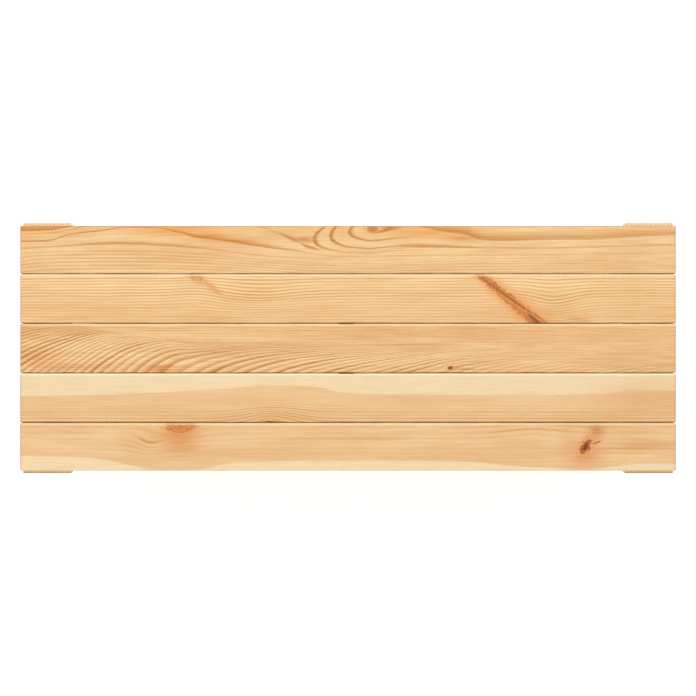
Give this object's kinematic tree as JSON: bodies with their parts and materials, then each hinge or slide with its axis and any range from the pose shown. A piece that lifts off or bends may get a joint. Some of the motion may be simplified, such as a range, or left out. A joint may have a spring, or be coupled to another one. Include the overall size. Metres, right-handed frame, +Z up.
{
  "type": "child's platform wagon",
  "caption": "Low wooden wagon: a board deck on cross battens, a fixed and a steered axle with rubber-tyred wheels, and a pull handle folded under the deck.",
  "frame": {"origin": "on the ground under the middle of the deck", "axes": "+X along the deck towards the handle's hinge, +Y across it, +Z up"},
  "size_m": [0.8, 0.307, 0.208],
  "materials": {
    "pine_boards": "planed pine, thin satin oil",
    "pine_battens": "planed pine, thin satin oil",
    "beam_wood": "planed pine, oiled",
    "beech": "smooth, oiled",
    "wheel_wood": "turned, oiled",
    "tyres": "matt black rubber",
    "black_steel": "satin black powder coat",
    "zinc_steel": "zinc plated",
    "hub_caps": "bright plated",
    "screws": "yellow passivated zinc",
    "nylon": "natural nylon"
  },
  "bodies": {
    "deck": {"deck_board_1": "pine_boards", "deck_board_2": "pine_boards", "deck_board_3": "pine_boards", "deck_board_4": "pine_boards", "deck_board_5": "pine_boards", "front_end_batten": "pine_battens", "rear_end_batten": "pine_battens", "front_bolster": "pine_battens", "rear_bolster": "pine_battens", "front_end_batten_screws": "screws", "rear_end_batten_screws": "screws", "front_bolster_screws": "screws", "rear_bolster_screws": "screws", "turntable_upper_plate": "black_steel", "turntable_upper_screws": "screws", "steering_stop_pins": "zinc_steel", "turntable_thrust_washer": "nylon", "rear_axle_beam": "beam_wood", "rear_beam_screws": "screws", "rear_axle": "zinc_steel", "rear_axle_straps": "zinc_steel", "rear_strap_screws": "screws", "rear_axle_washers": "zinc_steel", "rear_hub_caps": "hub_caps"},
    "front_truck": {"turntable_lower_plate": "black_steel", "turntable_lower_screws": "screws", "kingpin": "zinc_steel", "kingpin_washer": "zinc_steel", "kingpin_nut": "zinc_steel", "front_axle_beam": "beam_wood", "front_axle": "zinc_steel", "front_axle_straps": "zinc_steel", "front_strap_screws": "screws", "front_axle_washers": "zinc_steel", "front_hub_caps": "hub_caps", "handle_yoke": "black_steel", "yoke_bolts": "zinc_steel", "yoke_washers": "zinc_steel", "yoke_nuts": "zinc_steel", "handle_pivot_bolt": "zinc_steel", "handle_pivot_nut": "zinc_steel", "handle_friction_washers": "nylon"},
    "handle": {"handle_bar": "beech", "handle_grip": "beech", "handle_grip_screw": "screws", "handle_pivot_bush": "nylon"},
    "front_left_wheel": {"front_left_wheel_disc": "wheel_wood", "front_left_tyre": "tyres", "front_left_wheel_bushes": "nylon"},
    "front_right_wheel": {"front_right_wheel_disc": "wheel_wood", "front_right_tyre": "tyres", "front_right_wheel_bushes": "nylon"},
    "rear_left_wheel": {"rear_left_wheel_disc": "wheel_wood", "rear_left_tyre": "tyres", "rear_left_wheel_bushes": "nylon"},
    "rear_right_wheel": {"rear_right_wheel_disc": "wheel_wood", "rear_right_tyre": "tyres", "rear_right_wheel_bushes": "nylon"}
  },
  "joints": [
    {"name": "steering_turn", "type": "hinge", "parent": "deck", "child": "front_truck", "pos_m": [0.26, 0, 0.168], "axis": [0, 0, 1], "range_deg": [-35, 35]},
    {"name": "handle_swing", "type": "hinge", "parent": "front_truck", "child": "handle", "pos_m": [0.384, 0, 0.05695], "axis": [0, -1, 0], "range_deg": [0, 235]},
    {"name": "front_left_wheel_spin", "type": "hinge", "parent": "front_truck", "child": "front_left_wheel", "pos_m": [0.26, 0.113, 0.08], "axis": [0, 1, 0], "continuous": true},
    {"name": "front_right_wheel_spin", "type": "hinge", "parent": "front_truck", "child": "front_right_wheel", "pos_m": [0.26, -0.113, 0.08], "axis": [0, 1, 0], "continuous": true},
    {"name": "rear_left_wheel_spin", "type": "hinge", "parent": "deck", "child": "rear_left_wheel", "pos_m": [-0.26, 0.113, 0.08], "axis": [0, 1, 0], "continuous": true},
    {"name": "rear_right_wheel_spin", "type": "hinge", "parent": "deck", "child": "rear_right_wheel", "pos_m": [-0.26, -0.113, 0.08], "axis": [0, 1, 0], "continuous": true}
  ]
}
